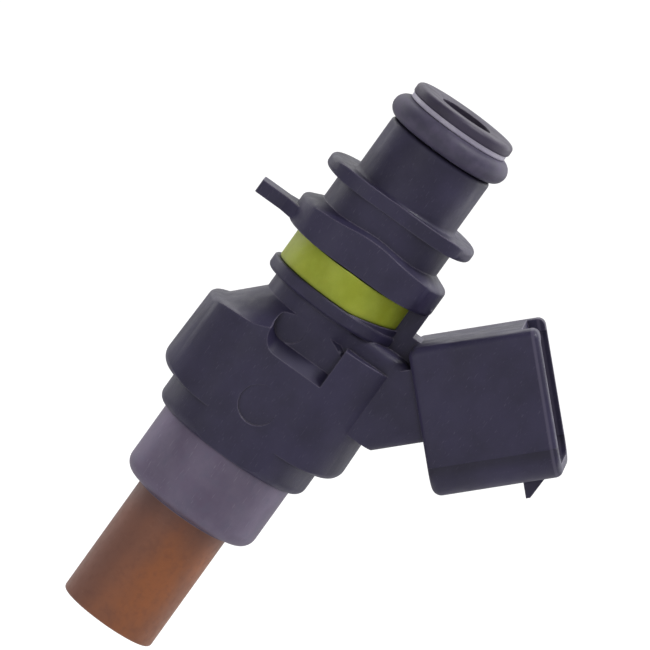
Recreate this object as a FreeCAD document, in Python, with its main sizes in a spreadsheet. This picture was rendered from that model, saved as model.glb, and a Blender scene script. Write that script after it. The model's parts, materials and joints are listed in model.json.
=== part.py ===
"""A top-feed port fuel injector, in millimetres.

The origin is the centre of the nozzle's end face. +Z runs along the injector to the fuel inlet, and the
electric connector leans out towards +X. The valve is shown closed.
"""
import FreeCAD, Part
import Sketcher
import os
import re

DIMENSIONS = {
    # Blocks that cut the moulding reach this far, well past its sides
    "cut_reach": 14.0,
    # Nozzle sleeve and the steel housing
    "sleeve_radius": 5.48,
    "sleeve_bore": 4.2,
    "sleeve_top": 15.6,
    "sleeve_lip_bore": 3.3,
    "sleeve_lip_height": 0.7,
    "sleeve_round": 0.4,
    "sleeve_lip_round": 0.3,
    "spigot_radius": 5.0,
    "housing_lip_bottom": 13.95,
    "housing_lip_radius": 5.7,
    "housing_bottom": 14.2,
    "housing_radius": 7.88,
    "housing_round": 1.6,
    "housing_shoulder": 22.6,
    "housing_upper_radius": 7.4,
    "housing_top": 33.2,
    "housing_floor": 17.2,
    "housing_bore": 6.9,
    # Lower ring and main body of the moulding
    "ring_radius": 9.08,
    "ring_bottom": 22.1,
    "ring_round": 1.1,
    "body_radius": 11.28,
    "body_bottom": 25.4,
    "body_top_radius": 11.0,
    "body_top": 34.65,
    "body_round": 1.7,
    "shoulder_round": 0.8,
    "ledge_radius": 9.55,
    "ledge_height": 35.2,
    "neck_radius": 6.5,
    "cone_top": 38.35,
    "body_flat": 8.1,
    "body_corner": 7.95,
    "corner_spare": 0.05,
    "flat_top": 33.8,
    # Recessed panel and the two ejector marks on each flat side
    "panel_left": 3.6,
    "panel_right": 4.1,
    "panel_flat": 6.2,
    "panel_bottom": 35.2,
    "panel_top": 39.9,
    "panel_corner": 1.8,
    "mark_radius": 2.15,
    "mark_height": 28.6,
    "mark_depth": 0.1,
    "mark_tilt": 2.7,
    "panel_mark_radius": 1.7,
    "panel_mark_x": 2.0,
    "panel_mark_height": 36.9,
    # The body's side towards the connector stands higher than the shoulder
    "step_radius": 10.95,
    "step_top": 38.5,
    # Lip, colour band and clip flanges
    "lip_radius": 7.82,
    "lip_bottom": 40.2,
    "lip_top": 41.7,
    "lip_round": 0.5,
    "band_seat": 6.5,
    "band_radius": 7.33,
    "band_round": 0.12,
    "band_top": 45.3,
    "band_notch_start": 2.0,
    "band_notch_rise": 1.0,
    "band_ramp_radius": 7.6,
    "web_half": 2.3,
    "web_right": 8.95,
    "web_bottom": 40.6,
    "web_notch": 43.0,
    "lower_flange_bottom": 45.4,
    "lower_flange_top": 48.5,
    "flange_radius": 9.05,
    "flange_round": 0.55,
    "lower_flange_corner": 6.5,
    "upper_flange_corner": 5.8,
    "waist_corner": 5.6,
    "waist_radius": 7.17,
    "waist_bottom": 49.35,
    "lower_flange_flat": 7.3,
    "upper_flange_bottom": 52.3,
    "upper_flange_top": 53.87,
    "upper_flange_flat": 6.55,
    "waist_flat": 6.35,
    "tab_reach": 13.3,
    "tab_bottom": 45.73,
    "tab_thickness": 1.5,
    "tab_half": 1.8,
    "tab_root": 1.2,
    "tab_round": 0.4,
    # Barrel, O-ring land and inlet mouth
    "barrel_radius": 6.15,
    "barrel_root": 0.5,
    "barrel_round": 0.45,
    "barrel_top": 60.5,
    "seal_height": 61.9,
    "seal_section": 1.32,
    "backup_radius": 5.87,
    "backup_bottom": 63.24,
    "backup_round": 0.12,
    "collar_bottom": 63.8,
    "collar_radius": 6.02,
    "collar_top": 65.0,
    "collar_round": 0.5,
    "mouth_radius": 3.75,
    "mouth_dish": 0.15,
    "tube_radius": 4.44,
    "tube_bore": 3.6,
    "tube_top": 64.2,
    # Connector: its axis leaves the body at an angle from the injector's axis
    "connector_angle": 45,
    "shell_x": 14.73,
    "shell_z": 36.57,
    "shell_length": 13.75,
    "shell_half_height": 7.92,
    "shell_half_width": 7.05,
    "shell_top_round": 1.0,
    "shell_bottom_round": 2.9,
    "shell_wall": 1.35,
    "shell_floor": 4.1,
    "shell_rim_round": 0.8,
    "shell_rear_round": 1.0,
    "shell_notch_half": 4.6,
    "shell_notch_depth": 1.8,
    "ramp_height": 1.9,
    "ramp_tip": 0.45,
    "ramp_steep": 4.45,
    "ramp_end": 2.0,
    "ramp_half": 2.2,
    "neck_half": 5.6,
    "neck_underside": 18.85,
    "neck_bottom": 31.1,
    "neck_top": 40.6,
    "neck_round": 1.5,
    "neck_top_round": 1.0,
    "blade_offset": 2.6,
    "blade_width": 2.3,
    "blade_half": 0.32,
    "blade_stick_out": 7.0,
    "blade_root_x": 5.4,
    "blade_root_z": 32.3,
    "blade_bend_z": 35.6,
    # Magnet and coil
    "core_radius": 4.2,
    "core_nose_radius": 3.45,
    "core_bottom": 25.09,
    "core_step": 27.0,
    "core_top": 38.0,
    "core_spigot_top": 40.0,
    "core_bore": 1.9,
    "adjuster_bottom": 30.0,
    "adjuster_top": 36.5,
    "adjuster_bore": 1.0,
    "bobbin_bottom": 18.4,
    "bobbin_bore": 4.25,
    "bobbin_hub": 4.85,
    "bobbin_flange": 0.9,
    "bobbin_radius": 6.8,
    "coil_radius": 6.45,
    "plate_bottom": 32.3,
    "bridge_bottom": 23.4,
    "bobbin_seal_section": 0.55,
    "bobbin_seal_gap": 0.1,
    # Valve
    "valve_bore": 2.95,
    "valve_bottom": 1.4,
    "plunger_bore": 3.45,
    "plunger_bore_bottom": 17.4,
    "armature_radius": 3.4,
    "armature_bottom": 18.0,
    "armature_top": 25.0,
    "armature_pocket": 1.7,
    "armature_pocket_floor": 20.0,
    "needle_radius": 1.3,
    "needle_bore": 0.75,
    "ball_radius": 1.7,
    "ball_height": 3.5,
    "seat_gap": 0.005,
    "guide_gap": 0.03,
    "seat_top": 4.6,
    "seat_outlet": 0.7,
    "guide_slot": 0.5,
    "guide_slot_height": 2.0,
    "guide_slot_end": 0.7,
    "stop_bottom": 15.4,
    "stop_top": 16.4,
    "stop_gap": 0.04,
    "orifice_bottom": 1.1,
    "orifice_radius": 3.3,
    "spray_circle": 1.1,
    "spray_radius": 0.11,
    "spray_count": 10,
    "spray_depth": 2.0,
    # Return spring and inlet filter
    "spring_radius": 1.3,
    "spring_wire": 0.2,
    "spring_turns": 8,
    "filter_top": 63.4,
    "filter_ring_bottom": 62.2,
    "filter_mouth": 3.05,
    "filter_floor": 53.4,
    "filter_floor_top": 54.1,
    "filter_floor_radius": 3.25,
    "mesh_radius": 2.95,
    "mesh_thickness": 0.1,
    "filter_rib_half": 0.3,
    "filter_rib_count": 4,
    "filter_round": 0.3,
}

doc = FreeCAD.newDocument("fuel_injector")
sheet = doc.addObject("Spreadsheet::Sheet", "sizes")
for row, (alias, value) in enumerate(DIMENSIONS.items(), start=1):
    sheet.set(f"A{row}", alias)
    sheet.set(f"B{row}", str(value))
    sheet.setAlias(f"B{row}", alias)
doc.recompute()


def bound(formula):
    """Turn a formula of dimension names into an expression that reads the sheet."""
    return re.sub(r"[a-z]+(_[a-z]+)+", lambda word: "sizes." + word.group(0), formula)


def worth(formula):
    """The formula's value now."""
    return float(sheet.evalExpression(bound(formula)))


def bind(item, **formulas):
    """Tie properties of an object to formulas of dimension names."""
    for name, formula in formulas.items():
        item.setExpression(name, bound(formula))
    return item


def place(item, x="0", y="0", z="0"):
    """Put an object at a position given by formulas."""
    for axis, formula in zip("xyz", (x, y, z)):
        if formula != "0":
            item.setExpression(f"Placement.Base.{axis}", bound(formula))
    return item


def place_height(item, height):
    """Set only the height of an object's place."""
    item.setExpression("Placement.Base.z", bound(height))
    return item


def pin_to_sheet(sketch, constraint, formula):
    """Add one dimension to a sketch and tie it to the sheet."""
    index = sketch.addConstraint(Sketcher.Constraint(*constraint, worth(formula)))
    sketch.setExpression(f"Constraints[{index}]", bound(formula))


def outline_sketch(body, name, plane, outline):
    """A closed outline of straight lines on an origin plane, with every corner tied to the sheet."""
    sketch = body.newObject("Sketcher::SketchObject", name)
    role = [feature for feature in body.Origin.OriginFeatures if feature.Role == plane][0]
    sketch.AttachmentSupport = (role, [""])
    sketch.MapMode = "FlatFace"
    corners = [FreeCAD.Vector(worth(across), worth(up), 0) for across, up in outline]
    for start, end in zip(corners, corners[1:] + corners[:1]):
        sketch.addGeometry(Part.LineSegment(start, end))
    for index, (across, up) in enumerate(outline):
        previous = (index - 1) % len(outline)
        sketch.addConstraint(Sketcher.Constraint("Coincident", previous, 2, index, 1))
        pin_to_sheet(sketch, ("DistanceX", -1, 1, index, 1), across)
        pin_to_sheet(sketch, ("DistanceY", -1, 1, index, 1), up)
    return sketch


def round_edges(body, base, chosen, radius):
    """Round the edges of a feature that the test picks."""
    doc.recompute()
    names = [f"Edge{number}" for number, edge in enumerate(base.Shape.Edges, start=1) if chosen(edge)]
    if not names:
        raise ValueError(f"{body.Label} has no edge to round by {radius}")
    fillet = body.newObject("PartDesign::Fillet", f"{body.Name}_round")
    fillet.Base = (base, names)
    return bind(fillet, Radius=radius)


def is_circle_at(radius, height):
    """A test for the full circle of that radius round the Z axis at that height."""
    def test(edge):
        if edge.Curve.TypeId != "Part::GeomCircle":
            return False
        right_size = abs(edge.Curve.Radius - worth(radius)) < 1e-4
        return right_size and abs(edge.Curve.Center.z - worth(height)) < 1e-4
    return test


def is_edge_along(direction, *corner):
    """A test for straight edges along a direction that pass a corner given as (axis index, value) pairs."""
    def test(edge):
        if edge.Curve.TypeId != "Part::GeomLine" or abs(edge.Curve.Direction.dot(direction)) < 0.999:
            return False
        middle = edge.valueAt((edge.FirstParameter + edge.LastParameter) / 2)
        return all(abs(middle[axis] - worth(formula)) < 1e-4 for axis, formula in corner)
    return test


def is_line_under(edge, direction):
    """True for the connector neck's two lower long edges."""
    if edge.Curve.TypeId != "Part::GeomLine" or abs(edge.Curve.Direction.dot(direction)) < 0.999:
        return False
    middle = edge.CenterOfMass
    return abs(middle.z - middle.x - worth("neck_underside")) < 1e-3


def turned(label, outline, rounds=()):
    """A piece turned round the Z axis from an outline of (radius, height) corners.

    Each round is the (radius, height) of a corner and the size of its rounding.
    """
    body = doc.addObject("PartDesign::Body", label)
    body.Label = label
    sketch = outline_sketch(body, f"{label}_outline", "XZ_Plane", outline)
    feature = body.newObject("PartDesign::Revolution", f"{label}_turned")
    feature.Profile = sketch
    feature.ReferenceAxis = (sketch, ["V_Axis"])
    feature.Angle = 360
    for radius, height, size in rounds:
        feature = round_edges(body, feature, is_circle_at(radius, height), size)
    return body


def tube(label, bore, radius, bottom, top, rounds=()):
    """A plain ring or tube round the Z axis."""
    return turned(label, [(bore, bottom), (radius, bottom), (radius, top), (bore, top)], rounds)


def disc(label, radius, bottom, top, rounds=()):
    """A solid round bar on the Z axis."""
    return tube(label, "0", radius, bottom, top, rounds)


def slab(label, outline, thickness, plane="XZ_Plane", rounds=(), symmetric=True):
    """A flat piece: an outline on an origin plane, thickened to both sides or to one."""
    body = doc.addObject("PartDesign::Body", label)
    body.Label = label
    sketch = outline_sketch(body, f"{label}_outline", plane, outline)
    feature = body.newObject("PartDesign::Pad", f"{label}_pad")
    feature.Profile = sketch
    feature.SideType = "Symmetric" if symmetric else "One side"
    bind(feature, Length=thickness)
    axes = {"XZ_Plane": (0, 2, 1), "YZ_Plane": (1, 2, 0), "XY_Plane": (0, 1, 2)}[plane]
    direction = FreeCAD.Vector(*(1 if axis == axes[2] else 0 for axis in range(3)))
    for across, up, size in rounds:
        corner = is_edge_along(direction, (axes[0], across), (axes[1], up))
        feature = round_edges(body, feature, corner, size)
    return body


def rectangle(left, right, bottom, top):
    """The four corners of an upright rectangle."""
    return [(left, bottom), (right, bottom), (right, top), (left, top)]


def joined(label, pieces):
    """Pieces fused into one."""
    fuse = doc.addObject("Part::MultiFuse", label)
    fuse.Shapes = pieces
    fuse.Label = label
    fuse.Refine = True
    return fuse


def cut(label, base, tools):
    """A piece with tools taken out of it."""
    tool = tools[0] if len(tools) == 1 else joined(f"{label}_tools", tools)
    result = doc.addObject("Part::Cut", label)
    result.Base = base
    result.Tool = tool
    result.Label = label
    return result


def on_connector(item, along="0"):
    """Stand a piece that was drawn round the Z axis on the connector's rear plane, or further along its axis.

    Local +Z runs out of the connector's mouth, and local -X is the connector's upper side.
    """
    turn = FreeCAD.Rotation(FreeCAD.Vector(0, 1, 0), worth("connector_angle"))
    item.Placement = FreeCAD.Placement(FreeCAD.Vector(), turn)
    return place(item, f"shell_x + ({along}) * sin(connector_angle)", "0",
                 f"shell_z + ({along}) * cos(connector_angle)")


def moulding_round():
    """The slim turned part of the moulding: ring, neck, lip and the seat under the colour band."""
    outline = [
        ("0", "ring_bottom"),
        ("ring_radius", "ring_bottom"),
        ("ring_radius", "body_bottom + 2 * body_round"),
        ("neck_radius", "body_bottom + 2 * body_round"),
        ("neck_radius", "lip_bottom"),
        ("lip_radius", "lip_bottom"),
        ("lip_radius", "lip_top"),
        ("band_seat", "lip_top"),
        ("band_seat", "lower_flange_bottom + 1"),
        ("0", "lower_flange_bottom + 1"),
    ]
    rounds = [
        ("ring_radius", "ring_bottom", "ring_round"),
        ("lip_radius", "lip_bottom", "lip_round"),
        ("lip_radius", "lip_top", "lip_round / 2"),
    ]
    return turned("moulding_round", outline, rounds)


def flattened(label, piece, half_length, half_width, corner, bottom, top):
    """A round piece cut to an oblong with rounded corners, so that it is flat at the front and the back."""
    left = f"-({half_length})"
    front = f"-({half_width})"
    corners = [(x, y, corner) for x in (left, half_length) for y in (front, half_width)]
    oblong = slab(f"{label}_oblong", rectangle(left, half_length, front, half_width),
                  f"{top} - ({bottom})", "XY_Plane", corners, symmetric=False)
    common = doc.addObject("Part::Common", label)
    common.Base = piece
    common.Tool = place(oblong, z=bottom)
    return common


def clip_flanges():
    """The two flanges that hold the clip, the waist between them and the barrel above."""
    slope = "(waist_bottom - lower_flange_top) / (flange_radius - waist_radius)"
    lower = turned("lower_flange_turned", [
        ("0", "lower_flange_bottom"),
        ("flange_radius", "lower_flange_bottom"),
        ("flange_radius", "lower_flange_top"),
        ("waist_radius - 1", f"waist_bottom + {slope}"),
        ("0", "waist_bottom + 1"),
    ], rounds=[
        ("flange_radius", "lower_flange_bottom", "flange_round"),
        ("flange_radius", "lower_flange_top", "flange_round"),
    ])
    waist = disc("waist_turned", "waist_radius", "lower_flange_top", "upper_flange_bottom + 1")
    upper = turned("upper_flange_turned", [
        ("0", "upper_flange_bottom"),
        ("flange_radius", "upper_flange_bottom"),
        ("flange_radius", "upper_flange_top"),
        ("barrel_radius", "upper_flange_top"),
        ("barrel_radius", "barrel_top"),
        ("0", "barrel_top"),
    ], rounds=[
        ("flange_radius", "upper_flange_bottom", "flange_round"),
        ("flange_radius", "upper_flange_top", "flange_round"),
        ("barrel_radius", "upper_flange_top", "barrel_root"),
        ("barrel_radius", "barrel_top", "barrel_round"),
    ])
    flange = "flange_radius + corner_spare"
    return [
        flattened("lower_flange", lower, flange, "lower_flange_flat", "lower_flange_corner",
                  "lower_flange_bottom - 1", "waist_bottom + 2"),
        flattened("waist", waist, "waist_radius + corner_spare", "waist_flat", "waist_corner",
                  "lower_flange_top - 1", "upper_flange_bottom + 2"),
        flattened("upper_flange", upper, flange, "upper_flange_flat", "upper_flange_corner",
                  "upper_flange_bottom - 1", "barrel_top + 1"),
    ]


def main_body():
    """The thick body with its cone and its raised side, flat at the front and the back."""
    turned_body = turned("body_turned", [
        ("0", "body_bottom"),
        ("body_radius", "body_bottom"),
        ("body_top_radius", "body_top"),
        ("ledge_radius", "ledge_height"),
        ("neck_radius - 1", "cone_top + (cone_top - ledge_height) / (ledge_radius - neck_radius)"),
        ("0", "cone_top + 1"),
    ], rounds=[
        ("body_radius", "body_bottom", "body_round"),
        ("body_top_radius", "body_top", "shoulder_round"),
    ])
    whole = joined("body_and_step", [turned_body, side_step()])
    return flattened("main_body", whole, "body_radius + corner_spare", "body_flat + corner_spare",
                     "body_corner", "ring_bottom", "lip_bottom")


def is_panel_corner(edge):
    """True for the panel's sloping edge on the side away from the connector."""
    middle = edge.CenterOfMass
    return abs(middle.x) < 1e-6 and worth("flat_top") < middle.z < worth("panel_bottom")


def side_flats():
    """Blocks and wedges that cut the front and back: the flats down to the ring, and the recessed panels."""
    tools = []
    for start, word in (("-body_flat - cut_reach", "front"), ("body_flat", "back")):
        block = bind(doc.addObject("Part::Box", f"body_cut_{word}"),
                     Length="2 * cut_reach", Width="cut_reach", Height="step_top + 2 - ring_bottom")
        tools.append(place(block, "-cut_reach", start, "ring_bottom - 1"))
    for side, name in ((-1, "front"), (1, "back")):
        flat = f"{side} * body_flat"
        panel = f"{side} * panel_flat"
        outside = f"{side} * (body_radius + 1)"
        outline = [(flat, "flat_top"), (panel, "panel_bottom"), (panel, "panel_top"), (outside, "panel_top"),
                   (outside, "flat_top")]
        wedge = slab(f"panel_{name}", outline, "panel_left + panel_right", "YZ_Plane", symmetric=False)
        round_edges(wedge, wedge.Tip, is_panel_corner, "panel_corner")
        tools.append(place(wedge, "-panel_left"))
    return tools


def ejector_marks():
    """Shallow round marks of the mould's ejector pins on both flat sides, deeper at their lower left."""
    tools = []
    marks = [("low", "0", "mark_height", "mark_radius", "body_flat"),
             ("high", "-panel_mark_x", "panel_mark_height", "panel_mark_radius", "panel_flat")]
    for name, x, height, radius, flat in marks:
        for side, word in ((-1, "front"), (1, "back")):
            pin = doc.addObject("Part::Cylinder", f"mark_{name}_{word}")
            bind(pin, Radius=radius, Height="cut_reach")
            outwards = FreeCAD.Rotation(FreeCAD.Vector(1, 0, 0), -90 * side)
            lean = FreeCAD.Rotation(FreeCAD.Vector(-side, 0, side), worth("mark_tilt"))
            pin.Placement = FreeCAD.Placement(FreeCAD.Vector(), lean * outwards)
            tools.append(place(pin, x, f"{side} * ({flat} - mark_depth)", height))
    return tools


def clip_tab():
    """The flat tab that keeps the injector from turning in its clip."""
    root = "-sqrt(flange_radius ^ 2 - tab_half ^ 2)"
    outline = [
        ("-tab_reach", "-tab_half"),
        (f"{root} - tab_root", "-tab_half"),
        (f"{root} + tab_round", "-tab_half - tab_root"),
        (f"{root} + tab_round", "tab_half + tab_root"),
        (f"{root} - tab_root", "tab_half"),
        ("-tab_reach", "tab_half"),
    ]
    tab = slab("clip_tab", outline, "tab_thickness", "XY_Plane", symmetric=False,
               rounds=[("-tab_reach", "-tab_half", "tab_round"), ("-tab_reach", "tab_half", "tab_round")])
    return place(tab, z="tab_bottom")


def connector_neck():
    """The thick neck from the body to the connector, and the thin web above it up to the lower flange."""
    rear_sum = "shell_x + shell_z"
    overlap = "1"
    neck = slab("connector_neck", [
        ("2", "neck_bottom"),
        ("neck_bottom - neck_underside", "neck_bottom"),
        (f"({rear_sum} - neck_underside) / 2 + {overlap}", f"({rear_sum} + neck_underside) / 2 + {overlap}"),
        (f"{rear_sum} - neck_top + {overlap}", f"neck_top + {overlap}"),
        (f"{rear_sum} - neck_top", "neck_top"),
        ("2", "neck_top"),
    ], "2 * neck_half")
    underside = FreeCAD.Vector(1, 0, 1).normalize()
    lower = round_edges(neck, neck.Tip, lambda edge: is_line_under(edge, underside), "neck_round")
    upper = is_edge_along(FreeCAD.Vector(1, 0, 0), (2, "neck_top"))
    round_edges(neck, lower, upper, "neck_top_round")
    web = slab("band_web", [
        ("2", "web_bottom - 1"),
        (f"{rear_sum} - web_bottom + {overlap}", "web_bottom - 1"),
        ("web_right + 1.2", "web_notch"),
        ("web_right", "web_notch"),
        ("web_right", "lower_flange_bottom + 1"),
        ("2", "lower_flange_bottom + 1"),
    ], "2 * web_half")
    return [neck, web]


def band_ramp():
    """The low wall under the colour band that rises towards the connector, front and back."""
    wedge = slab("band_ramp_wedge", [
        ("band_notch_start", "lip_top - 0.5"),
        ("lip_radius", "lip_top - 0.5"),
        ("lip_radius", "lip_top + band_notch_rise"),
        ("band_notch_start", "lip_top"),
    ], "2 * lip_radius")
    bar = disc("band_ramp_bar", "band_ramp_radius", "lip_top - 0.4", "lower_flange_bottom")
    ramp = doc.addObject("Part::Common", "band_ramp")
    ramp.Base = wedge
    ramp.Tool = bar
    return ramp


def side_step():
    """The raised side of the body round the connector neck."""
    bar = disc("side_step_bar", "step_radius", "body_top - 2", "step_top")
    half = slab("side_step_half", rectangle("panel_right", "step_radius + 1", "body_top - 3", "step_top + 1"),
                "2 * step_radius + 1")
    step = doc.addObject("Part::Common", "side_step")
    step.Base = bar
    step.Tool = half
    return step


def connector_shell():
    """The connector's solid outside, with its lock ramp on the lower side."""
    outline = rectangle("-shell_half_height", "shell_half_height", "-shell_half_width", "shell_half_width")
    sides = (("-shell_half_height", "shell_top_round"), ("shell_half_height", "shell_bottom_round"))
    rounds = [(x, y, size) for x, size in sides for y in ("-shell_half_width", "shell_half_width")]
    shell = slab("connector_shell", outline, "shell_length", "XY_Plane", rounds, symmetric=False)
    feature = shell.Tip
    mouth = worth("shell_length")
    feature = round_edges(shell, feature, lambda edge: edge.BoundBox.ZMin > mouth - 1e-3, "shell_rim_round")
    round_edges(shell, feature, lambda edge: edge.BoundBox.ZMax < 1e-3, "shell_rear_round")
    ramp = slab("lock_ramp", [
        ("shell_half_height - 1", "shell_length - ramp_steep"),
        ("shell_half_height + ramp_height", "shell_length - ramp_steep"),
        ("shell_half_height + ramp_height", "shell_length - ramp_steep + ramp_tip"),
        ("shell_half_height", "shell_length - ramp_end"),
        ("shell_half_height - 1", "shell_length - ramp_end"),
    ], "2 * ramp_half")
    return [on_connector(shell), on_connector(ramp)]


def connector_hollow():
    """The space inside the connector, and the notch at the mouth of its upper wall."""
    across = "shell_half_height - shell_wall"
    along = "shell_half_width - shell_wall"
    outline = rectangle(f"-({across})", across, f"-({along})", along)
    sides = ((f"-({across})", "shell_top_round / 2"), (across, "shell_bottom_round - shell_wall"))
    rounds = [(x, y, size) for x, size in sides for y in (f"-({along})", along)]
    hollow = slab("connector_hollow", outline, "shell_length - shell_floor + 1", "XY_Plane", rounds,
                  symmetric=False)
    notch = slab("connector_notch", rectangle("-shell_half_height - 1", "-shell_half_height + shell_wall + 1",
                                              "-shell_notch_half", "shell_notch_half"),
                 "shell_notch_depth + 1", "XY_Plane", symmetric=False)
    return [on_connector(hollow, "shell_floor"), on_connector(notch, "shell_length - shell_notch_depth")]


def pin_blades(label, grow):
    """Two contact blades from the coil to the connector's hollow, grown on every side by a clearance."""
    rise = f"(blade_half + {grow})"
    diagonal = f"{rise} * sqrt(2)"
    corner = f"{rise} * tan(connector_angle / 2)"
    axis_gap = "shell_z - shell_x"
    bend_x = f"(blade_bend_z - ({axis_gap}))"
    end = f"(shell_floor + blade_stick_out + {grow}) / sqrt(2)"
    outline = [
        (f"blade_root_x - {rise}", "blade_root_z"),
        (f"blade_root_x + {rise}", "blade_root_z"),
        (f"blade_root_x + {rise}", f"blade_bend_z - {rise}"),
        (f"{bend_x} + {corner}", f"blade_bend_z - {rise}"),
        (f"shell_x + {end} + {diagonal} / 2", f"shell_z + {end} - {diagonal} / 2"),
        (f"shell_x + {end} - {diagonal} / 2", f"shell_z + {end} + {diagonal} / 2"),
        (f"{bend_x} - {corner}", f"blade_bend_z + {rise}"),
        (f"blade_root_x - {rise}", f"blade_bend_z + {rise}"),
    ]
    blades = []
    for side, word in ((-1, "front"), (1, "back")):
        blade = slab(f"{label}_{word}", outline, f"blade_width + 2 * {grow}")
        blades.append(place(blade, y=f"{side} * blade_offset"))
    return joined(label, blades)


def insert_space():
    """The space inside the moulding that the housing, plate, core and inlet tube fill."""
    return turned("insert_space", [
        ("0", "ring_bottom - 1"),
        ("housing_radius", "ring_bottom - 1"),
        ("housing_radius", "housing_shoulder"),
        ("housing_upper_radius", "housing_shoulder"),
        ("housing_upper_radius", "housing_top"),
        ("core_radius", "housing_top"),
        ("core_radius", "core_top"),
        ("tube_radius", "core_top"),
        ("tube_radius", "barrel_top + 1"),
        ("0", "barrel_top + 1"),
    ])


def body_overmould(blades):
    """The black moulding: one piece from the lower ring to the barrel, with the connector."""
    pieces = [moulding_round(), main_body(), clip_tab(), band_ramp()] + clip_flanges()
    solid = joined("moulding_solid", pieces + connector_neck() + connector_shell())
    shaped = cut("moulding_shaped", solid, side_flats())
    marked = cut("moulding_marked", shaped, ejector_marks())
    return cut("body_overmould", marked, [insert_space(), blades] + connector_hollow())


def id_band():
    """The colour band: a clip open towards the connector, its lower corners cut to the sloping wall."""
    ring = tube("band_ring", "band_seat", "band_radius", "lip_top", "band_top",
                rounds=[("band_radius", "lip_top", "band_round"), ("band_radius", "band_top", "band_round")])
    opening = slab("band_opening", rectangle("0", "lip_radius", "lip_top - 1", "band_top + 1"),
                   "2 * web_half")
    slant = "band_notch_rise / (lip_radius - band_notch_start)"
    slope = slab("band_slope", [
        ("band_notch_start", "lip_top - 1"),
        ("lip_radius + 1", "lip_top - 1"),
        ("lip_radius + 1", f"lip_top + (lip_radius + 1 - band_notch_start) * {slant}"),
        ("band_notch_start", "lip_top"),
    ], "4 * lip_radius")
    return cut("id_band", ring, [opening, slope])


def rail_seal():
    """The O-ring, the backup ring above it and the dark collar at the mouth."""
    ring = bind(doc.addObject("Part::Torus", "upper_o_ring"),
                Radius1="tube_radius + seal_section", Radius2="seal_section")
    ring.Label = "upper_o_ring"
    place(ring, z="seal_height")
    tube("backup_ring", "tube_radius", "backup_radius", "backup_bottom", "collar_bottom",
         rounds=[("backup_radius", "backup_bottom", "backup_round")])
    turned("o_ring_retainer", [
        ("tube_radius", "collar_bottom"),
        ("collar_radius", "collar_bottom"),
        ("collar_radius", "collar_top"),
        ("mouth_radius", "collar_top"),
        ("filter_mouth", "collar_top - mouth_dish"),
        ("filter_mouth", "tube_top"),
        ("tube_radius", "tube_top"),
    ], rounds=[
        ("collar_radius", "collar_top", "collar_round"),
        ("collar_radius", "collar_bottom", "collar_round / 2"),
    ])


def inlet():
    """The inlet tube, the filter's frame and its mesh."""
    tube("inlet_tube", "tube_bore", "tube_radius", "core_top", "tube_top")
    frame = turned("filter_basket", [
        ("0", "filter_floor"),
        ("filter_floor_radius", "filter_floor"),
        ("filter_floor_radius", "filter_floor_top"),
        ("filter_floor_radius", "filter_ring_bottom"),
        ("tube_bore", "filter_ring_bottom"),
        ("tube_bore", "filter_top"),
        ("filter_mouth", "filter_top"),
        ("filter_mouth", "filter_ring_bottom"),
        ("mesh_radius", "filter_ring_bottom"),
        ("mesh_radius", "filter_floor_top"),
        ("0", "filter_floor_top"),
    ], rounds=[("filter_mouth", "filter_top", "filter_round")])
    windows = []
    rib = worth("filter_rib_half")
    for index in range(DIMENSIONS["filter_rib_count"]):
        window = bind(doc.addObject("Part::Box", f"filter_window_{index}"), Length="filter_floor_radius + 1",
                      Width="filter_floor_radius + 1", Height="filter_ring_bottom - filter_floor_top")
        spin = FreeCAD.Rotation(FreeCAD.Vector(0, 0, 1), 360 / DIMENSIONS["filter_rib_count"] * index)
        window.Placement = FreeCAD.Placement(spin.multVec(FreeCAD.Vector(rib, rib, 0)), spin)
        windows.append(place_height(window, "filter_floor_top"))
    cut("inlet_filter_frame", frame, windows)
    tube("filter_mesh", "mesh_radius - mesh_thickness", "mesh_radius",
         "filter_floor_top", "filter_ring_bottom")


def magnet(blades):
    """Housing, core, plate, coil and the non-magnetic ring."""
    turned("yoke_housing", [
        ("spigot_radius", "housing_lip_bottom"),
        ("housing_lip_radius", "housing_lip_bottom"),
        ("housing_lip_radius", "housing_bottom"),
        ("housing_radius", "housing_bottom"),
        ("housing_radius", "housing_shoulder"),
        ("housing_upper_radius", "housing_shoulder"),
        ("housing_upper_radius", "housing_top"),
        ("housing_bore", "housing_top"),
        ("housing_bore", "housing_floor"),
        ("sleeve_bore", "housing_floor"),
        ("sleeve_bore", "sleeve_top"),
        ("spigot_radius", "sleeve_top"),
    ], rounds=[("housing_radius", "housing_bottom", "housing_round")])
    turned("pole_core", [
        ("core_bore", "core_bottom"),
        ("core_nose_radius", "core_bottom"),
        ("core_nose_radius", "core_step"),
        ("core_radius", "core_step"),
        ("core_radius", "core_top"),
        ("tube_bore", "core_top"),
        ("tube_bore", "core_spigot_top"),
        ("core_bore", "core_spigot_top"),
    ])
    tube("spring_adjuster", "adjuster_bore", "core_bore", "adjuster_bottom", "adjuster_top")
    tube("nonmagnetic_ring", "plunger_bore", "core_radius", "bridge_bottom", "core_step")
    plate = tube("plate_round", "core_radius", "housing_bore", "plate_bottom", "housing_top")
    cut("upper_pole_plate", plate, [blades])
    turned("coil_bobbin", [
        ("bobbin_bore", "bobbin_bottom"),
        ("bobbin_radius", "bobbin_bottom"),
        ("bobbin_radius", "bobbin_bottom + bobbin_flange"),
        ("bobbin_hub", "bobbin_bottom + bobbin_flange"),
        ("bobbin_hub", "plate_bottom - bobbin_flange"),
        ("bobbin_radius", "plate_bottom - bobbin_flange"),
        ("bobbin_radius", "plate_bottom"),
        ("bobbin_bore", "plate_bottom"),
    ])
    tube("coil_winding", "bobbin_hub", "coil_radius",
         "bobbin_bottom + bobbin_flange", "plate_bottom - bobbin_flange")
    seal = bind(doc.addObject("Part::Torus", "bobbin_seal"),
                Radius1="bobbin_bore + bobbin_seal_section + bobbin_seal_gap", Radius2="bobbin_seal_section")
    seal.Label = "bobbin_seal"
    place(seal, z="housing_floor + bobbin_seal_section")


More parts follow.
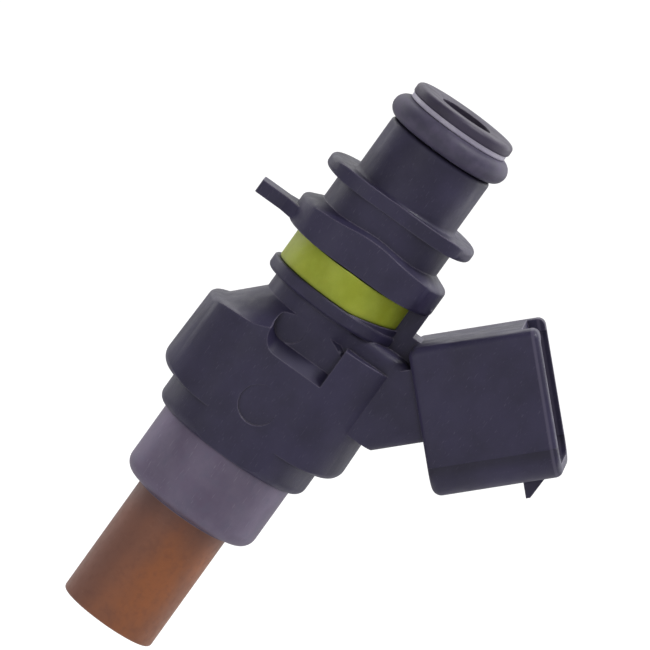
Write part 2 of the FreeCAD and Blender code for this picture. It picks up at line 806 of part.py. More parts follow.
def nozzle():
    """Sleeve, valve body, seat, needle stop and the spray plate."""
    turned("nozzle_sleeve", [
        ("sleeve_lip_bore", "0"),
        ("sleeve_radius", "0"),
        ("sleeve_radius", "housing_lip_bottom"),
        ("spigot_radius", "housing_lip_bottom"),
        ("spigot_radius", "sleeve_top"),
        ("sleeve_bore", "sleeve_top"),
        ("sleeve_bore", "sleeve_lip_height"),
        ("sleeve_lip_bore", "sleeve_lip_height"),
    ], rounds=[("sleeve_radius", "0", "sleeve_round"), ("sleeve_lip_bore", "0", "sleeve_lip_round")])
    turned("valve_body", [
        ("valve_bore", "valve_bottom"),
        ("sleeve_bore", "valve_bottom"),
        ("sleeve_bore", "bridge_bottom"),
        ("plunger_bore", "bridge_bottom"),
        ("plunger_bore", "plunger_bore_bottom"),
        ("valve_bore", "plunger_bore_bottom"),
    ])
    guide = "ball_radius + guide_gap"
    contact = "(ball_radius + seat_gap) * sqrt(2)"
    seat = turned("seat_blank", [
        ("seat_outlet", "valve_bottom"),
        ("valve_bore", "valve_bottom"),
        ("valve_bore", "seat_top"),
        (guide, "seat_top"),
        (guide, f"ball_height - {contact} + {guide}"),
        ("seat_outlet", f"ball_height - {contact} + seat_outlet"),
    ])
    slots = []
    for quarter in range(4):
        slot = bind(doc.addObject("Part::Box", f"guide_slot_{quarter}"), Length="valve_bore - guide_slot_end",
                    Width="guide_slot", Height="guide_slot_height")
        spin = FreeCAD.Rotation(FreeCAD.Vector(0, 0, 1), 90 * quarter)
        slot.Placement = FreeCAD.Placement(spin.multVec(FreeCAD.Vector(0, -worth("guide_slot") / 2, 0)), spin)
        slots.append(place_height(slot, "ball_height"))
    cut("valve_seat", seat, slots)
    tube("needle_stop", "needle_radius + stop_gap", "valve_bore", "stop_bottom", "stop_top")
    plate = disc("orifice_blank", "orifice_radius", "orifice_bottom", "valve_bottom")
    holes = []
    for index in range(DIMENSIONS["spray_count"]):
        hole = doc.addObject("Part::Cylinder", f"spray_{index}")
        bind(hole, Radius="spray_radius", Height="spray_depth")
        spin = FreeCAD.Rotation(FreeCAD.Vector(0, 0, 1), 360 / DIMENSIONS["spray_count"] * index)
        hole.Placement = FreeCAD.Placement(spin.multVec(FreeCAD.Vector(worth("spray_circle"), 0, 0)), spin)
        holes.append(hole)
    cut("orifice_plate", plate, holes)


def moving_valve():
    """Armature, needle and ball, and the spring above them."""
    turned("armature", [
        ("needle_radius", "armature_bottom"),
        ("armature_radius", "armature_bottom"),
        ("armature_radius", "armature_top"),
        ("armature_pocket", "armature_top"),
        ("armature_pocket", "armature_pocket_floor"),
        ("needle_radius", "armature_pocket_floor"),
    ])
    ball = bind(doc.addObject("Part::Sphere", "valve_ball"), Radius="ball_radius")
    ball.Label = "valve_ball"
    place(ball, z="ball_height")
    shaft = tube("needle_blank", "needle_bore", "needle_radius", "ball_height", "armature_pocket_floor")
    cut("valve_needle", shaft, [ball])
    spring = doc.addObject("Part::Feature", "return_spring")
    spring.Label = "return_spring"
    wire = worth("spring_wire")
    bottom = worth("armature_pocket_floor") + wire
    length = worth("adjuster_bottom") - wire - bottom
    helix = Part.makeHelix(length / worth("spring_turns"), length, worth("spring_radius"))
    start = FreeCAD.Vector(worth("spring_radius"), 0, 0)
    section = Part.Wire(Part.makeCircle(wire, start, FreeCAD.Vector(0, 1, 0)))
    spring.Shape = Part.Wire(helix).makePipeShell([section], True, True)
    spring.Placement.Base = FreeCAD.Vector(0, 0, bottom)


NODES = [
    "body_overmould", "id_band", "upper_o_ring", "backup_ring", "o_ring_retainer", "inlet_tube",
    "inlet_filter_frame", "filter_mesh", "yoke_housing", "pole_core", "spring_adjuster", "nonmagnetic_ring",
    "upper_pole_plate", "coil_bobbin", "coil_winding", "bobbin_seal", "terminal_pins", "nozzle_sleeve",
    "valve_body", "valve_seat", "needle_stop", "orifice_plate", "armature", "valve_needle", "valve_ball",
    "return_spring",
]


def write_parts():
    """Check every object of the document, then write one STEP file for each piece."""
    doc.recompute()
    for item in doc.Objects:
        if "Invalid" in item.State or "Error" in item.State:
            raise ValueError(f"{item.Label} failed: {item.State}")
    pieces = {item.Label: item.Shape for item in doc.Objects if item.Label in NODES}
    for label in NODES:
        shape = pieces[label]
        if shape.isNull() or not shape.isValid() or not shape.Solids:
            raise ValueError(f"{label} has no sound shape")
    os.makedirs("parts", exist_ok=True)
    for label in NODES:
        pieces[label].exportStep(f"parts/{label}.step")
        print(f"{label:20s} {len(pieces[label].Solids)} solids {pieces[label].Volume:9.2f} mm3")


terminal_pins = pin_blades("terminal_pins", "0")
body_overmould(terminal_pins)
id_band()
rail_seal()
inlet()
magnet(terminal_pins)
nozzle()
moving_valve()
write_parts()
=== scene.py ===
"""The looks of a fuel injector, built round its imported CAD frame. Everything is in metres."""
import json
import math

import bpy
from mathutils import Matrix, Vector


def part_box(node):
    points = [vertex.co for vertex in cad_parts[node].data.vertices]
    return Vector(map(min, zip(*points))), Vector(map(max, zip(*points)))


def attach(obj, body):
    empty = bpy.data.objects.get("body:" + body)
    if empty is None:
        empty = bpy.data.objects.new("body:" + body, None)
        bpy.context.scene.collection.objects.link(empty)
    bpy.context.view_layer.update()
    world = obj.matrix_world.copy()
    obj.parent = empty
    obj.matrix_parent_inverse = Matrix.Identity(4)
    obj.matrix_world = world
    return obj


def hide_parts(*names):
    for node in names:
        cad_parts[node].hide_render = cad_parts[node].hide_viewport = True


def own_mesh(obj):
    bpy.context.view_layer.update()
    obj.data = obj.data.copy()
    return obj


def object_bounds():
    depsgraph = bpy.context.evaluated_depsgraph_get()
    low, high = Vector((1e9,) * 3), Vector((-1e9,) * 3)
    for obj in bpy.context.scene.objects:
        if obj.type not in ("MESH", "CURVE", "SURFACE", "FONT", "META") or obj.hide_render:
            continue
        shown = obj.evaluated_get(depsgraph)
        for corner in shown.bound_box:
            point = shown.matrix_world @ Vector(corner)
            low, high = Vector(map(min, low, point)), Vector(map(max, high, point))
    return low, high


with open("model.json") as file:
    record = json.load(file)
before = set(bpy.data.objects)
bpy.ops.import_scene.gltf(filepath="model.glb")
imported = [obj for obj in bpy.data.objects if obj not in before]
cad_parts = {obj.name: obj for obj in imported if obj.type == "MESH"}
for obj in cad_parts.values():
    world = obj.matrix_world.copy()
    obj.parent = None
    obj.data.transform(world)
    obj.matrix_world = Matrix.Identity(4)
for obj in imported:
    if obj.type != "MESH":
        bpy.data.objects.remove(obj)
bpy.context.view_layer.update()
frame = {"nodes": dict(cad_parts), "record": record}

MM = 0.001
BODY = "injector"
COIL_BORE_RADIUS = 4.85 * MM
SHARP_ANGLE = math.radians(32)
WELD_DISTANCE = 1e-7

# The connector's axis rises at 45 degrees from its rear face. Its mould step and painted rim highlight are
# set by sums and
# differences of X and Z, which are 1.41 times the distance across or along it.
SHELL_REAR_X = 14.73 * MM
SHELL_REAR_Z = 36.57 * MM
SHELL_SEAM = 4.7 * MM * math.sqrt(2)
SHELL_RIM_HIGHLIGHT = 13.1 * MM * math.sqrt(2)

# The camera looks along +Y from a little above, and is rolled so that the inlet leans to the right.
TARGET = Vector((0.75 * MM, 0, 38.4 * MM))
VIEW_ELEVATION = math.radians(7.3)
VIEW_ROLL = math.radians(35.7)
VIEW_DISTANCE = 1.15
VIEW_WIDTH = 67.7 * MM
SENSOR_WIDTH = 36.0

# The light tent's brightness, from straight behind the injector (0) to the camera's side (1).
TENT_BRIGHTEST = 2.0
TENT = ((0.0, 0.3), (0.2, 1.0), (0.4, 0.12), (0.6, 0.03), (0.8, 0.17), (1.0, 0.15))

# Each softbox: name, direction from the target, distance in metres, width in metres, power in watts.
SOFTBOXES = (
    ("key", (0.30, -0.10, 0.95), 0.45, 0.14, 0.85),
    ("front", (-0.4, -1.0, 0.1), 0.60, 0.40, 0.3),
    ("side", (1.0, -0.35, 0), 0.45, 0.30, 0.05),
    ("rim_right", (1.0, 0.35, 0), 0.45, 0.20, 0.16),
    ("rim_left", (-1.0, 0.5, 0), 0.45, 0.20, 0.14),
)

# The floor lies below the nozzle's tip. Its glow is weaker for the injector than for the camera.
FLOOR_DROP = 25 * MM
FLOOR_REACH = 8.0
FLOOR_GREY = (0.4, 0.4, 0.4, 1)
FLOOR_GLOW_ON_OBJECT = 0.2
FLOOR_GLOW_SEEN = 0.8


# ---------------------------------------------------------------- materials

def linear(red, green, blue):
    """A colour given as 0 to 255 display values, as the linear colour that a shader needs."""
    def channel(value):
        value /= 255
        return value / 12.92 if value <= 0.04045 else ((value + 0.055) / 1.055) ** 2.4
    return (channel(red), channel(green), channel(blue), 1.0)


class Shader:
    """A node material under construction, worked out in object coordinates in metres."""

    def __init__(self, name):
        self.material = bpy.data.materials.new(name)
        self.material.use_nodes = True
        self.tree = self.material.node_tree
        self.tree.nodes.clear()
        self.place = self.add("ShaderNodeTexCoord").outputs["Object"]
        self.surface = self.add("ShaderNodeBsdfPrincipled")
        output = self.add("ShaderNodeOutputMaterial")
        self.tree.links.new(self.surface.outputs[0], output.inputs[0])

    def add(self, kind, settings=None, **inputs):
        """A node with its settings and inputs; an input is a value or another node's output."""
        node = self.tree.nodes.new(kind)
        for name, value in (settings or {}).items():
            setattr(node, name, value)
        for name, value in inputs.items():
            self.feed(node, name.replace("_", " "), value)
        return node

    def feed(self, node, name, value):
        """Give an input a value or a link."""
        socket = node.inputs[int(name)] if name.isdigit() else node.inputs[name]
        if isinstance(value, bpy.types.NodeSocket):
            self.tree.links.new(value, socket)
        else:
            socket.default_value = value

    def noise(self, size, detail=3.0, roughness=0.55, stretch=(1, 1, 1), shift=0.0):
        """Soft noise from 0 to 1, in blobs about `size` metres across that `stretch` draws out."""
        scaled = self.add("ShaderNodeMapping", Vector=self.place, Location=(shift, shift, shift),
                          Scale=tuple(1 / (size * s) for s in stretch))
        return self.add("ShaderNodeTexNoise", Vector=scaled.outputs[0], Scale=1.0, Detail=detail,
                        Roughness=roughness).outputs["Fac"]

    def spread(self, value, low, high, to_low=0.0, to_high=1.0):
        """Map a value from one range to another, smoothly and clamped."""
        node = self.add("ShaderNodeMapRange", {"interpolation_type": "SMOOTHSTEP"}, Value=value)
        for name, number in (("From Min", low), ("From Max", high), ("To Min", to_low), ("To Max", to_high)):
            node.inputs[name].default_value = number
        return node.outputs[0]

    def sum(self, operation, first, second):
        """Arithmetic on two values."""
        node = self.add("ShaderNodeMath", {"operation": operation})
        self.feed(node, "0", first)
        self.feed(node, "1", second)
        return node.outputs[0]

    def mix(self, share, first, second):
        """Blend two colours."""
        node = self.add("ShaderNodeMix", {"data_type": "RGBA"})
        self.feed(node, "0", share)
        self.feed(node, "6", first)
        self.feed(node, "7", second)
        return node.outputs[2]

    def part_of_place(self, axis):
        """One coordinate of the shaded point."""
        return self.add("ShaderNodeSeparateXYZ", Vector=self.place).outputs[axis]

    def edge(self, radius):
        """Edge wear with a painted highlight, 0 on faces: up to 1 on edges turned to the inlet and key
        light, up to 0.25 elsewhere.
        """
        rounded = self.add("ShaderNodeBevel", {"samples": 6}, Radius=radius).outputs[0]
        flat = self.add("ShaderNodeNewGeometry").outputs["Normal"]
        angle = self.add("ShaderNodeVectorMath", {"operation": "DOT_PRODUCT"})
        self.tree.links.new(rounded, angle.inputs[0])
        self.tree.links.new(flat, angle.inputs[1])
        # Painted highlight: edges that face up towards the key light get the most.
        upwards = self.add("ShaderNodeSeparateXYZ", Vector=rounded).outputs["Z"]
        return self.sum("MULTIPLY", self.spread(angle.outputs["Value"], 0.995, 0.80),
                        self.spread(upwards, 0.0, 0.5, 0.25, 1.0))

    def crevice_shade(self, reach, darkest):
        """Painted shade: 1 on open faces, down to `darkest` where faces within reach close in."""
        open_share = self.add("ShaderNodeAmbientOcclusion", {"samples": 6}, Distance=reach).outputs["AO"]
        return self.spread(open_share, 0.35, 0.9, darkest, 1.0)

    def relief(self, heights, bevel=0.0):
        """Stack bump maps, each (height value, depth in metres), on softly rounded edges."""
        normal = self.add("ShaderNodeBevel", {"samples": 6}, Radius=bevel).outputs[0] if bevel else None
        for height, depth in heights:
            bump = self.add("ShaderNodeBump", Height=height, Distance=depth, Strength=1.0)
            if normal is not None:
                self.tree.links.new(normal, bump.inputs["Normal"])
            normal = bump.outputs[0]
        self.tree.links.new(normal, self.surface.inputs["Normal"])

    def finish(self, **inputs):
        """Set the surface's inputs and return the material."""
        for name, value in inputs.items():
            self.feed(self.surface, name.replace("_", " "), value)
        return self.material


def shell_lines(shader):
    """The connector's marks: a low step along its lower edge with painted shade below it, and a painted
    highlight behind its mouth.
    """
    x, z = shader.part_of_place("X"), shader.part_of_place("Z")
    seam = SHELL_REAR_X - SHELL_REAR_Z + SHELL_SEAM
    below = shader.sum("SUBTRACT", shader.sum("SUBTRACT", x, z), seam)
    along = shader.sum("SUBTRACT", shader.sum("ADD", x, z), SHELL_REAR_X + SHELL_REAR_Z)
    on_shell = shader.spread(along, -0.1 * MM, 0.1 * MM)
    # A low step that fades out over 2 mm below the line; in the colour it is painted shade.
    step = shader.sum("MULTIPLY", shader.spread(below, -0.1 * MM, 0.1 * MM),
                      shader.spread(below, 0.2 * MM, 2.2 * MM, 1.0, 0.0))
    # A painted highlight line just behind the connector's mouth.
    from_rim = shader.sum("ABSOLUTE", shader.sum("SUBTRACT", along, SHELL_RIM_HIGHLIGHT), 0.0)
    rim = shader.spread(from_rim, 0.08 * MM, 0.35 * MM, 1.0, 0.0)
    return shader.sum("MULTIPLY", step, on_shell), rim


def moulded_resin(name, base, pale_marks_and_highlight, roughness=0.42, is_body=False):
    """Glass-filled moulded resin: mould texture, flow marks, faint fibres, scratches, edges lightened by
    wear and a painted highlight, and painted shade in crevices.

    The injector's body also has its parting line, the connector's mould step with painted shade and a
    painted highlight behind the connector's mouth.
    """
    shader = Shader(name)
    clouds = shader.noise(5 * MM, detail=4)
    flow = shader.noise(1.6 * MM, detail=3, stretch=(1, 1, 3), shift=3.7)
    fibres = shader.spread(shader.noise(0.10 * MM, detail=1, stretch=(1, 1, 7), shift=1.3), 0.66, 0.76)
    texture = shader.noise(0.12 * MM, detail=2, roughness=0.6, shift=9.1)
    scratches = shader.spread(shader.noise(0.05 * MM, detail=1, stretch=(26, 1, 1.5), shift=5.0), 0.68, 0.74)
    darker = tuple(channel * 0.84 for channel in base[:3]) + (1.0,)
    lighter = tuple(channel * 1.18 for channel in base[:3]) + (1.0,)
    colour = shader.mix(shader.spread(clouds, 0.3, 0.7), darker, lighter)
    colour = shader.mix(shader.sum("MULTIPLY", fibres, 0.16), colour, pale_marks_and_highlight)
    # Edges lighter with wear, and with a painted highlight where they face up.
    edge_wear_and_highlight = shader.sum("MULTIPLY", shader.edge(0.3 * MM), shader.spread(flow, 0.3, 0.6, 0.6, 1.0))
    colour = shader.mix(edge_wear_and_highlight, colour, pale_marks_and_highlight)
    # Painted shade in crevices and corners.
    colour = shader.mix(shader.crevice_shade(0.7 * MM, 0.35), linear(16, 15, 22), colour)
    layers = [(texture, 0.012 * MM), (flow, 0.02 * MM), (scratches, -0.004 * MM)]
    if is_body:
        from_middle = shader.sum("ABSOLUTE", shader.part_of_place("Y"), 0.0)
        layers.append((shader.spread(from_middle, 0.04 * MM, 0.10 * MM, 1.0, 0.0), 0.02 * MM))
        step, rim = shell_lines(shader)
        layers.append((step, -0.07 * MM))
        # Painted shade below the connector's mould step.
        colour = shader.mix(shader.sum("MULTIPLY", step, 0.45), colour, linear(24, 22, 32))
        # Painted highlight behind the connector's mouth.
        colour = shader.mix(shader.sum("MULTIPLY", rim, 0.3), colour, pale_marks_and_highlight)
    shader.relief(layers, 0.16 * MM)
    rough = shader.sum("ADD", shader.spread(flow, 0.3, 0.7, roughness - 0.06, roughness + 0.08),
                       shader.sum("MULTIPLY", texture, 0.06))
    return shader.finish(Base_Color=colour, Roughness=rough, IOR=1.5)


def seal_rubber():
    """Smooth moulded rubber with a faint bloom and fine dust."""
    shader = Shader("seal_rubber")
    bloom = shader.spread(shader.noise(1.8 * MM, detail=4), 0.4, 0.75)
    dust = shader.spread(shader.noise(0.09 * MM, detail=2, shift=2.2), 0.66, 0.74, 0.0, 0.35)
    colour = shader.mix(bloom, linear(80, 75, 98), linear(98, 91, 116))
    colour = shader.mix(dust, colour, linear(120, 115, 130))
    shader.relief([(shader.noise(0.25 * MM, detail=3, shift=4.0), 0.01 * MM)])
    return shader.finish(Base_Color=colour, Roughness=shader.spread(bloom, 0, 1, 0.5, 0.62), IOR=1.5)


def housing_steel():
    """Dull plated steel, turned on a lathe, with cloudy stains, a few rub marks, edges lightened by wear and
    a painted highlight, and painted shade in its hollows.
    """
    shader = Shader("housing_steel")
    stains = shader.noise(3.4 * MM, detail=3)
    blotch = shader.noise(1.2 * MM, detail=3, shift=6.1)
    rings = shader.noise(0.07 * MM, detail=2, stretch=(60, 60, 1))
    rubs = shader.spread(shader.noise(0.12 * MM, detail=2, stretch=(1, 1, 12), shift=8.0), 0.64, 0.74)
    colour = shader.mix(shader.spread(stains, 0.3, 0.7), linear(122, 110, 134), linear(138, 128, 150))
    colour = shader.mix(shader.spread(blotch, 0.45, 0.75, 0.0, 0.5), colour, linear(122, 118, 140))
    colour = shader.mix(shader.sum("MULTIPLY", rubs, 0.4), colour, linear(176, 170, 184))
    # Edges lighter with wear and a painted highlight.
    worn_and_highlit_edges = shader.sum("MULTIPLY", shader.edge(0.25 * MM), 0.5)
    colour = shader.mix(worn_and_highlit_edges, colour, linear(190, 184, 198))
    # Painted shade in hollows, such as under the moulded ring above.
    colour = shader.mix(shader.crevice_shade(1.5 * MM, 0.3), linear(50, 44, 56), colour)
    shader.relief([(rings, 0.006 * MM), (blotch, 0.012 * MM), (rubs, -0.004 * MM)], 0.1 * MM)
    rough = shader.spread(stains, 0.3, 0.7, 0.40, 0.56)
    return shader.finish(Base_Color=colour, Metallic=0.65, Roughness=rough)


def brown_sleeve():
    """Brown coated sleeve: cloudy tint, a painted reflection that greys one side, painted shade near the
    housing, and edges lightened by wear and a painted highlight.
    """
    shader = Shader("sleeve_brown")
    clouds = shader.spread(shader.noise(3.2 * MM, detail=5, stretch=(1, 1, 1.8), shift=2.9), 0.3, 0.7)
    mottle = shader.noise(0.8 * MM, detail=4, shift=6.4)
    rings = shader.noise(0.06 * MM, detail=2, stretch=(40, 40, 1), shift=1.1)
    scuffs = shader.spread(shader.noise(0.1 * MM, detail=2, stretch=(9, 9, 1), shift=7.3), 0.68, 0.76)
    colour = shader.mix(clouds, linear(160, 102, 74), linear(180, 110, 70))
    # Painted reflection: the side towards -X is greyer and darker.
    side = shader.spread(shader.part_of_place("X"), -4.5 * MM, 1.5 * MM, 0.75, 0.0)
    colour = shader.mix(side, colour, linear(134, 94, 84))
    colour = shader.mix(shader.spread(mottle, 0.45, 0.75, 0.0, 0.35), colour, linear(132, 88, 74))
    # Painted shade just under the housing.
    shade_under_housing = shader.spread(shader.part_of_place("Z"), 10.5 * MM, 14 * MM, 0.0, 0.6)
    colour = shader.mix(shade_under_housing, colour, linear(104, 78, 76))
    colour = shader.mix(shader.sum("MULTIPLY", scuffs, 0.2), colour, linear(180, 140, 116))
    # Edges lighter with wear and a painted highlight.
    worn_and_highlit_edges = shader.sum("MULTIPLY", shader.edge(0.25 * MM), 0.5)
    colour = shader.mix(worn_and_highlit_edges, colour, linear(184, 140, 112))
    shader.relief([(rings, 0.003 * MM), (mottle, 0.01 * MM), (scuffs, -0.004 * MM)])
    rough = shader.spread(mottle, 0.3, 0.7, 0.34, 0.46)
    return shader.finish(Base_Color=colour, Metallic=0.2, Roughness=rough, IOR=1.5)


def lime_band():
    """Dyed translucent resin, cloudy, with a painted highlight on its edges and painted shade in its
    crevices.
    """
    shader = Shader("lime_resin")
    clouds = shader.noise(2.2 * MM, detail=4)
    grain = shader.noise(0.14 * MM, detail=3, shift=3.3)
    colour = shader.mix(shader.spread(clouds, 0.3, 0.7), linear(180, 192, 50), linear(194, 206, 66))
    colour = shader.mix(shader.spread(grain, 0.5, 0.8, 0.0, 0.25), colour, linear(158, 174, 40))
    # Painted highlight on the edges.
    colour = shader.mix(shader.edge(0.35 * MM), colour, linear(226, 234, 140))
    # Painted shade in crevices.
    colour = shader.mix(shader.crevice_shade(0.4 * MM, 0.1), linear(48, 60, 12), colour)
    shader.relief([(grain, 0.01 * MM), (clouds, 0.04 * MM)], 0.12 * MM)
    return shader.finish(Base_Color=colour, Roughness=0.42, IOR=1.5, Subsurface_Weight=0.15,
                         Subsurface_Scale=0.3 * MM)


def pale_resin():
    """The smooth pale backup ring."""
    shader = Shader("pale_resin")
    clouds = shader.noise(1.5 * MM, detail=4)
    colour = shader.mix(shader.spread(clouds, 0.3, 0.7), linear(206, 199, 222), linear(222, 216, 234))
    shader.relief([(shader.noise(0.15 * MM, detail=2, shift=2.0), 0.006 * MM)])
    return shader.finish(Base_Color=colour, Roughness=0.35, IOR=1.5)


def turned_metal(name, dark, light, roughness=0.32, size=0.06 * MM):
    """Bright metal turned on a lathe: fine rings, a few stains."""
    shader = Shader(name)
    rings = shader.noise(size, detail=2, stretch=(50, 50, 1))
    stains = shader.noise(1.8 * MM, detail=4, shift=5.5)
    colour = shader.mix(shader.spread(stains, 0.3, 0.7), dark, light)
    shader.relief([(rings, 0.004 * MM)], 0.06 * MM)
    return shader.finish(Base_Color=colour, Metallic=1.0,
                         Roughness=shader.spread(rings, 0.3, 0.7, roughness - 0.06, roughness + 0.08))


MATERIALS = {
    "black_resin": moulded_resin("black_resin", linear(58, 53, 82), linear(140, 133, 158), is_body=True),
    "collar_resin": moulded_resin("collar_resin", linear(72, 65, 86), linear(122, 115, 134)),
    "filter_resin": moulded_resin("filter_resin", linear(112, 86, 74), linear(160, 130, 112)),
    "bobbin_resin": moulded_resin("bobbin_resin", linear(186, 176, 150), linear(214, 206, 186)),
    "seal_rubber": seal_rubber(),
    "housing_steel": housing_steel(),
    "sleeve_brown": brown_sleeve(),
    "lime_resin": lime_band(),
    "pale_resin": pale_resin(),
    "stainless": turned_metal("stainless", linear(165, 163, 166), linear(205, 203, 206)),
    "soft_iron": turned_metal("soft_iron", linear(128, 126, 130), linear(165, 162, 166), 0.4),
    "filter_wire": turned_metal("filter_wire", linear(150, 140, 128), linear(190, 180, 165), 0.35),
    "copper_wire": turned_metal("copper_wire", linear(150, 72, 38), linear(196, 104, 58), 0.3, 0.2 * MM),
    "tinned_brass": turned_metal("tinned_brass", linear(176, 168, 150), linear(214, 208, 192), 0.3),
}


def smooth(item):
    """Shade smooth up to SHARP_ANGLE, and keep real edges sharp."""
    for polygon in item.data.polygons:
        polygon.use_smooth = True
    weld = item.modifiers.new("weld", "WELD")
    weld.merge_threshold = WELD_DISTANCE
    split = item.modifiers.new("edges", "EDGE_SPLIT")
    split.split_angle = SHARP_ANGLE
    split.use_edge_sharp = False


def dress_cad_nodes():
    """Give every CAD node the material of its slot."""
    slots = {part["node"]: part["material_slot"] for part in frame["record"]["subparts"]}
    for name, item in frame["nodes"].items():
        item.data.materials.clear()
        item.data.materials.append(MATERIALS[slots[name]])
        smooth(item)


# ---------------------------------------------------------------- pieces finer than the CAD

def new_piece(name, vertices, faces, slot, *stands_for):
    """A mesh piece that rides on the injector, wears its slot's material and stands for CAD nodes."""
    mesh = bpy.data.meshes.new(name)
    mesh.from_pydata(vertices, [], faces)
    mesh.materials.append(MATERIALS[slot])
    mesh.shade_smooth()
    piece = bpy.data.objects.new(name, mesh)
    bpy.context.scene.collection.objects.link(piece)
    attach(piece, BODY)
    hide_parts(*stands_for)
    return piece


def tube_along(vertices, faces, path, radius, closed, sides=4):
    """Add a thin wire along a path that runs round or along the Z axis."""
    start = len(vertices)
    count = len(path)
    for index, point in enumerate(path):
        ahead = path[(index + 1) % count] if closed or index + 1 < count else point
        behind = path[index - 1] if closed or index else point
        outwards = Vector((point.x, point.y, 0)).normalized()
        across = (ahead - behind).normalized().cross(outwards)
        for step in range(sides):
            angle = math.tau * (step + 0.5) / sides
            vertices.append(point + outwards * radius * math.cos(angle) + across * radius * math.sin(angle))
    for index in range(count if closed else count - 1):
        here = start + sides * index
        there = start + sides * ((index + 1) % count)
        for step in range(sides):
            after = (step + 1) % sides
            faces.append((here + step, here + after, there + after, there + step))
    if not closed:
        faces.append(tuple(range(start + sides - 1, start - 1, -1)))
        faces.append(tuple(range(start + sides * (count - 1), start + sides * count)))


def woven_filter():
    """The inlet filter as woven wire: upright wires that pass in front of and behind the hoops by turns."""
    low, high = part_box("filter_mesh")
    uprights = 44
    hoops = 34
    wire = 0.04 * MM
    radius = high[0] - 2 * wire
    vertices, faces = [], []
    for number in range(uprights):
        angle = math.tau * number / uprights
        path = []
        for index in range(2 * hoops + 1):
            weave = radius + wire * math.sin(math.pi * (index / 2 + number))
            height = low[2] + (high[2] - low[2]) * index / (2 * hoops)
            path.append(Vector((weave * math.cos(angle), weave * math.sin(angle), height)))
        tube_along(vertices, faces, path, wire, closed=False)
    for number in range(hoops):
        height = low[2] + (high[2] - low[2]) * (number + 0.5) / hoops
        path = []
        for index in range(2 * uprights):
            angle = math.tau * index / (2 * uprights)
            weave = radius + wire * math.cos(math.pi * (index / 2 + number))
            path.append(Vector((weave * math.cos(angle), weave * math.sin(angle), height)))
        tube_along(vertices, faces, path, wire, closed=True)
    new_piece("woven_filter", vertices, faces, "filter_wire", "filter_mesh")


def wound_coil():
    """The coil, with its outer layer as separate turns of wire."""
    low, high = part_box("coil_winding")
    turns = 34
    arc_steps = 5
    pitch = (high[2] - low[2]) / turns
    profile = [(COIL_BORE_RADIUS, low[2])]
    for turn in range(turns):
        for step in range(arc_steps):
            angle = math.pi * step / arc_steps
            profile.append((high[0] - pitch / 2 + pitch / 2 * math.sin(angle),
                            low[2] + pitch * (turn + 0.5 - 0.5 * math.cos(angle))))
    profile += [(high[0] - pitch / 2, high[2]), (COIL_BORE_RADIUS, high[2])]
    steps = 64
    vertices = []
    for step in range(steps):
        angle = math.tau * step / steps
        vertices += [(radius * math.cos(angle), radius * math.sin(angle), height)
                     for radius, height in profile]
    count = len(profile)
    faces = []
    for step in range(steps):
        for index in range(count):
            here, after = step * count, (step + 1) % steps * count
            beyond = (index + 1) % count
            faces.append((here + index, after + index, after + beyond, here + beyond))
    new_piece("wound_coil", vertices, faces, "copper_wire", "coil_winding")


def coil_spring():
    """The return spring as a coil of round wire."""
    low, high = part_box("return_spring")
    wire = 0.2 * MM
    turns = 8
    steps = 24 * turns
    end_gap = 1.1 * wire
    coil_radius = high[0] - wire
    path = []
    for index in range(steps + 1):
        angle = math.tau * turns * index / steps
        height = low[2] + end_gap + (high[2] - low[2] - 2 * end_gap) * index / steps
        path.append(Vector((coil_radius * math.cos(angle), coil_radius * math.sin(angle), height)))
    vertices, faces = [], []
    tube_along(vertices, faces, path, wire, closed=False, sides=10)
    spring = new_piece("coil_spring", vertices, faces, "stainless", "return_spring")
    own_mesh(spring)


# ---------------------------------------------------------------- stage, light and camera

def view_axes():
    """The camera's right, up and backward directions."""
    right = Vector((1, 0, 0))
    back = Vector((0, -math.cos(VIEW_ELEVATION), math.sin(VIEW_ELEVATION)))
    up = back.cross(right)
    turn = Matrix.Rotation(-VIEW_ROLL, 3, -back)
    return turn @ right, turn @ up, back


def add_camera():
    """A long lens that frames the injector as it leans across the picture."""
    right, up, back = view_axes()
    data = bpy.data.cameras.new("camera")
    data.sensor_width = SENSOR_WIDTH
    data.lens = SENSOR_WIDTH * VIEW_DISTANCE / VIEW_WIDTH
    data.clip_start = 0.01
    data.clip_end = 10
    camera = bpy.data.objects.new("camera", data)
    bpy.context.scene.collection.objects.link(camera)
    turn = Matrix((right, up, back)).transposed()
    camera.matrix_world = Matrix.Translation(TARGET + back * VIEW_DISTANCE) @ turn.to_4x4()
    bpy.context.scene.camera = camera


def add_lights():
    """A key light from the inlet's end, weak ones beside the camera and rim lights from behind."""
    for name, direction, distance, size, power in SOFTBOXES:
        data = bpy.data.lights.new(name, "AREA")
        data.size = size
        data.energy = power
        light = bpy.data.objects.new(name, data)
        bpy.context.scene.collection.objects.link(light)
        away = Vector(direction).normalized()
        light.location = TARGET + away * distance
        light.rotation_euler = away.to_track_quat("Z", "Y").to_euler()


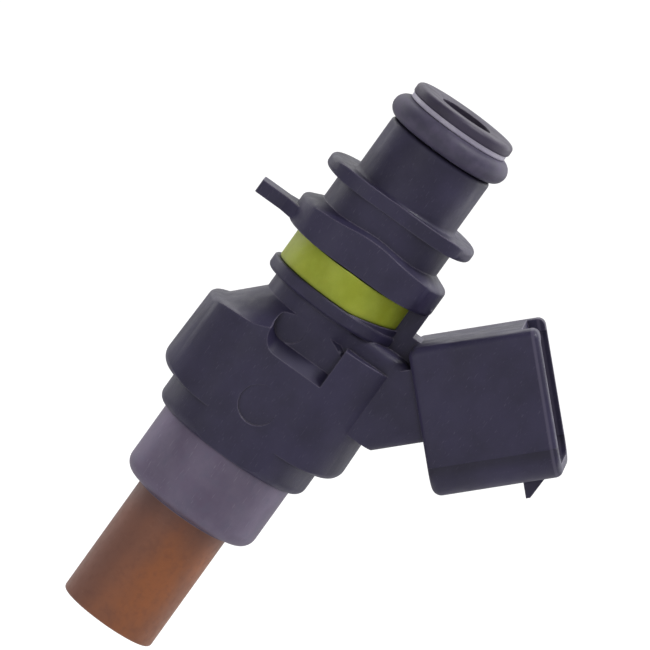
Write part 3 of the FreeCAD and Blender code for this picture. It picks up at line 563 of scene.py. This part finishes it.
def add_world():
    """White to the camera; to the object, a light tent that is bright behind it and dark at its sides."""
    world = bpy.data.worlds.new("tent")
    world.use_nodes = True
    bpy.context.scene.world = world
    nodes, links = world.node_tree.nodes, world.node_tree.links
    nodes.clear()
    direction = nodes.new("ShaderNodeTexCoord")
    facing = nodes.new("ShaderNodeVectorMath")
    facing.operation = "DOT_PRODUCT"
    facing.inputs[1].default_value = view_axes()[2]
    links.new(direction.outputs["Generated"], facing.inputs[0])
    along_view = nodes.new("ShaderNodeMapRange")
    along_view.inputs["From Min"].default_value = -1.0
    links.new(facing.outputs["Value"], along_view.inputs["Value"])
    shade = nodes.new("ShaderNodeValToRGB")
    shade.color_ramp.interpolation = "EASE"
    stops = shade.color_ramp.elements
    stops.remove(stops[1])
    for position, brightness in TENT:
        stop = stops.new(position) if position else stops[0]
        stop.color = (brightness, brightness, brightness, 1)
    links.new(along_view.outputs[0], shade.inputs[0])
    tent = nodes.new("ShaderNodeBackground")
    tent.inputs["Strength"].default_value = TENT_BRIGHTEST
    links.new(shade.outputs[0], tent.inputs["Color"])
    backdrop = nodes.new("ShaderNodeBackground")
    backdrop.inputs["Strength"].default_value = 1.0
    seen = nodes.new("ShaderNodeLightPath")
    choose = nodes.new("ShaderNodeMixShader")
    links.new(seen.outputs["Is Camera Ray"], choose.inputs[0])
    links.new(tent.outputs[0], choose.inputs[1])
    links.new(backdrop.outputs[0], choose.inputs[2])
    output = nodes.new("ShaderNodeOutputWorld")
    links.new(choose.outputs[0], output.inputs[0])


def add_floor(height):
    """A plain white floor that lights the injector a little from below; it can't be seen from below."""
    mesh = bpy.data.meshes.new("floor")
    corners = [(FLOOR_REACH * x, FLOOR_REACH * y, height) for x, y in ((-1, -1), (1, -1), (1, 1), (-1, 1))]
    mesh.from_pydata(corners, [], [(0, 1, 2, 3)])
    floor = bpy.data.objects.new("floor", mesh)
    bpy.context.scene.collection.objects.link(floor)
    material = bpy.data.materials.new("floor_white")
    material.use_nodes = True
    nodes, links = material.node_tree.nodes, material.node_tree.links
    surface = nodes["Principled BSDF"]
    surface.inputs["Base Color"].default_value = FLOOR_GREY
    surface.inputs["Roughness"].default_value = 0.9
    glow = nodes.new("ShaderNodeEmission")
    seen = nodes.new("ShaderNodeLightPath")
    strength = nodes.new("ShaderNodeMapRange")
    strength.inputs["To Min"].default_value = FLOOR_GLOW_ON_OBJECT
    strength.inputs["To Max"].default_value = FLOOR_GLOW_SEEN
    links.new(seen.outputs["Is Camera Ray"], strength.inputs["Value"])
    links.new(strength.outputs[0], glow.inputs["Strength"])
    both = nodes.new("ShaderNodeAddShader")
    links.new(surface.outputs[0], both.inputs[0])
    links.new(glow.outputs[0], both.inputs[1])
    below = nodes.new("ShaderNodeNewGeometry")
    clear = nodes.new("ShaderNodeBsdfTransparent")
    choose = nodes.new("ShaderNodeMixShader")
    links.new(below.outputs["Backfacing"], choose.inputs[0])
    links.new(both.outputs[0], choose.inputs[1])
    links.new(clear.outputs[0], choose.inputs[2])
    links.new(choose.outputs[0], nodes["Material Output"].inputs[0])
    mesh.materials.append(material)


dress_cad_nodes()
woven_filter()
wound_coil()
coil_spring()

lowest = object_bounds()[0][2]
add_world()
add_floor(lowest - FLOOR_DROP)
add_lights()
add_camera()

view = bpy.context.scene.view_settings
view.view_transform = "Standard"
view.look = "None"
